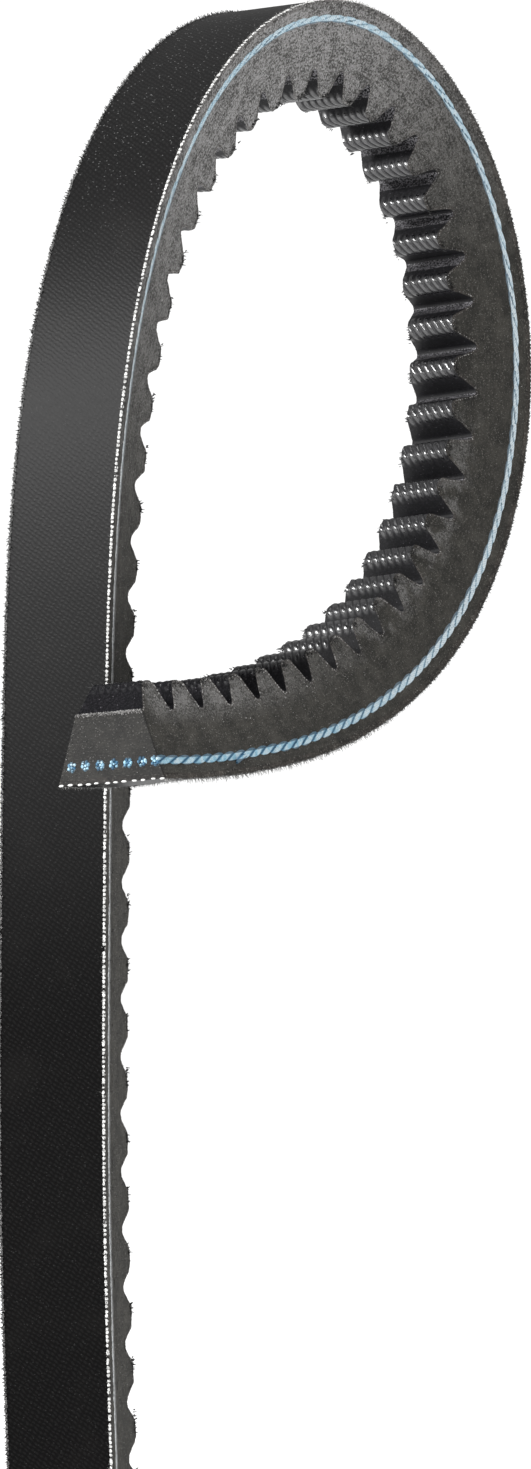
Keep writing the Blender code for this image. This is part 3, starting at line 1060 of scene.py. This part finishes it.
def add_crest_fibres(side, material):
    """Dark fibres frayed from the facing at the crests' edges, most of them on one shoulder."""
    rng = seeded("crest_fibres", side)
    crests = (np.arange(math.ceil(side.first), math.floor(side.last)) + 0.5) * COG_PITCH
    tubes = []
    for flank in (1, -1):
        distance = np.repeat(crests, CREST_FIBRES_PER_COG)
        count = len(distance)
        distance += rng.normal(CREST_FIBRE_SHIFT, CREST_FIBRE_SPREAD, count) * MM
        depth = rng.uniform(*CREST_FIBRE_DEPTHS, count) * MM
        roots = stack_places(distance, depth, flank * (half_width(depth) - CREST_FIBRE_INSET))
        directions = kind_directions(rng, CREST_FIBRE, count, flank)
        lengths, radii = kind_sizes(rng, CREST_FIBRE, count)
        tubes.append(fibres(rng, roots, directions, lengths, radii, CREST_FIBRE.curl))
    tubes = np.concatenate(tubes)
    shade = rng.uniform(*CREST_FIBRE_SHADES, (len(tubes), 1, 1))
    add_piece("crest_fibres", side, tubes, [material], shade=shade)


def add_cut_end_threads(side, material):
    """The back fabric's thread ends along the free end's cut."""
    rng = seeded("cut_end_threads", side)
    reach = half_width(0.0) - END_THREAD_MARGIN
    count = round(2 * reach / END_THREAD_PITCH)
    across = np.linspace(-reach, reach, count) + rng.normal(0, END_THREAD_WAVER, count)
    depth = rng.normal(0.06, 0.04, count) * MM
    roots = stack_places(END_THREAD_START, depth, across)
    directions = kind_directions(rng, END_THREAD, count)
    lengths, radii = kind_sizes(rng, END_THREAD, count)
    tubes = fibres(
        rng, roots, directions, lengths, radii, END_THREAD.curl, STUB_PROFILE,
        guide=(0, 1, 0), widths=END_THREAD_WIDTHS, corners=6,
    )
    shade = rng.uniform(*WHITE_SHADES, (count, 1, 1))
    add_piece("cut_end_threads", side, tubes, [material], shade=shade)


def add_cut_end_flecks(side, material):
    """Fibre tips on the free end's cut, thickest along the root of its notch and its edges."""
    rng = seeded("cut_end_flecks", side)
    depth = np.concatenate([
        rng.uniform(1.0 * MM, ROOT_DEPTH, FACE_FLECKS),
        ROOT_DEPTH - np.abs(rng.normal(0.1, 0.22, ROOT_FLECKS)) * MM,
        rng.uniform(2.0 * MM, ROOT_DEPTH, EDGE_FLECKS),
    ])
    count = len(depth)
    share = rng.uniform(-1, 1, count)
    share[-EDGE_FLECKS:] = np.sign(share[-EDGE_FLECKS:]) * rng.uniform(0.95, 0.99, EDGE_FLECKS)
    roots = stack_places(END_FLECK_START, depth, half_width(depth) * share)
    directions = kind_directions(rng, END_FLECK, count)
    lengths, radii = kind_sizes(rng, END_FLECK, count)
    at_root = depth > ROOT_DEPTH - ROOT_FLECK_REACH
    radii *= np.where(at_root, THICK_FLECK_RADIUS, 1.0)
    tubes = fibres(
        rng, roots, directions, lengths, radii, END_FLECK.curl, profile=(1.0, 0.7),
        guide=(0, 1, 0),
    )
    shade = uneven(rng, count, np.where(at_root, MIXED, DARK))[:, None, None]
    add_piece("cut_end_flecks", side, tubes, [material], shade=shade)


def add_fibre_pieces(side):
    white = thread_look("white_thread", WHITE_THREAD, roughness=0.7)
    grey = thread_look("grey_fibre", GREY_FIBRE, roughness=0.7)
    black = thread_look("black_fibre", BLACK_FIBRE, roughness=0.6)
    add_on_flanks("thread_ends", thread_ends, side, white)
    add_on_flanks("bristles", bristles, side, grey)
    add_on_flanks("edge_dots", edge_dots, side, grey)
    add_on_flanks("flank_flecks", flank_flecks, side, grey)
    add_crest_fibres(side, black)
    if side.first == 0:
        add_cut_end_threads(side, white)
        add_cut_end_flecks(side, grey)
        add_loose_strand(side, cord_look())
        add_cord_ends(side, cord_look())


# --------------------------------------------------------------------
# Camera, floor and light
# --------------------------------------------------------------------

CAMERA_PLACE = (0.46634, -0.71889, 0.12342)
CAMERA_AZIMUTH = math.radians(31.4)
LENS = 158.16
SENSOR = 36.0
NEAREST_SEEN = 0.01
SOFTBOX_DIRECTION = (-0.58, -0.72, 0.36)
SOFTBOX_DISTANCE = 0.95
SOFTBOX_SIZE = 0.24
SOFTBOX_POWER = 8.5
OVERHEAD_STRENGTH = 2.7
OVERHEAD_SPREAD = math.radians(24)
OVERHEAD_TILT = (math.radians(8), math.radians(-6), 0)
FLOOR_SIZE = 40
FLOOR_COLOUR = (0.9, 0.9, 0.9, 1)
FLOOR_ROUGHNESS = 0.9
SURROUNDINGS_LIGHT = 0.35
SURROUNDINGS_SEEN = 1.1


def add_camera():
    """The camera stands level with the middle of the picture."""
    data = bpy.data.cameras.new("camera")
    data.lens = LENS
    data.sensor_width = SENSOR
    data.clip_start = NEAREST_SEEN
    camera = place_in_scene(bpy.data.objects.new("camera", data))
    camera.location = CAMERA_PLACE
    camera.rotation_euler = (math.pi / 2, 0, CAMERA_AZIMUTH)
    bpy.context.scene.camera = camera


def add_softbox():
    """A square softbox on the left, which faces the middle of the belt."""
    data = bpy.data.lights.new("left_softbox", "AREA")
    data.size = SOFTBOX_SIZE
    data.energy = SOFTBOX_POWER
    light = place_in_scene(bpy.data.objects.new("left_softbox", data))
    middle = (CAD_BOX[0] + CAD_BOX[1]) / 2
    direction = Vector(SOFTBOX_DIRECTION).normalized()
    light.location = middle + SOFTBOX_DISTANCE * direction
    light.rotation_euler = (-direction).to_track_quat("-Z", "Y").to_euler()


def add_overhead_light():
    """A very wide, soft light from above, which lights the floor evenly."""
    data = bpy.data.lights.new("overhead_light", "SUN")
    data.energy = OVERHEAD_STRENGTH
    data.angle = OVERHEAD_SPREAD
    light = place_in_scene(bpy.data.objects.new("overhead_light", data))
    light.rotation_euler = OVERHEAD_TILT


def add_floor():
    """A wide pale floor, bright enough to run into the white surroundings."""
    bpy.ops.mesh.primitive_plane_add(size=FLOOR_SIZE)
    floor = bpy.context.object
    floor.name = "floor"
    material = bpy.data.materials.new("floor")
    material.use_nodes = True
    shader = material.node_tree.nodes["Principled BSDF"]
    shader.inputs["Base Color"].default_value = FLOOR_COLOUR
    shader.inputs["Roughness"].default_value = FLOOR_ROUGHNESS
    floor.data.materials.append(material)


def add_surroundings():
    """White surroundings, which light the belt less than they show."""
    world = bpy.data.worlds.new("surroundings")
    bpy.context.scene.world = world
    world.use_nodes = True
    nodes, links = world.node_tree.nodes, world.node_tree.links
    seen = nodes.new("ShaderNodeLightPath").outputs["Is Camera Ray"]
    strength = nodes.new("ShaderNodeMapRange")
    strength.inputs["To Min"].default_value = SURROUNDINGS_LIGHT
    strength.inputs["To Max"].default_value = SURROUNDINGS_SEEN
    links.new(seen, strength.inputs["Value"])
    links.new(strength.outputs["Result"], nodes["Background"].inputs["Strength"])
    nodes["Background"].inputs["Color"].default_value = (1, 1, 1, 1)


def main():
    for side in SIDES:
        add_plies(side)
        add_cords(side)
        add_fibre_pieces(side)
    add_camera()
    add_floor()
    add_surroundings()
    add_overhead_light()
    add_softbox()
    bpy.context.scene.view_settings.view_transform = "Standard"


main()
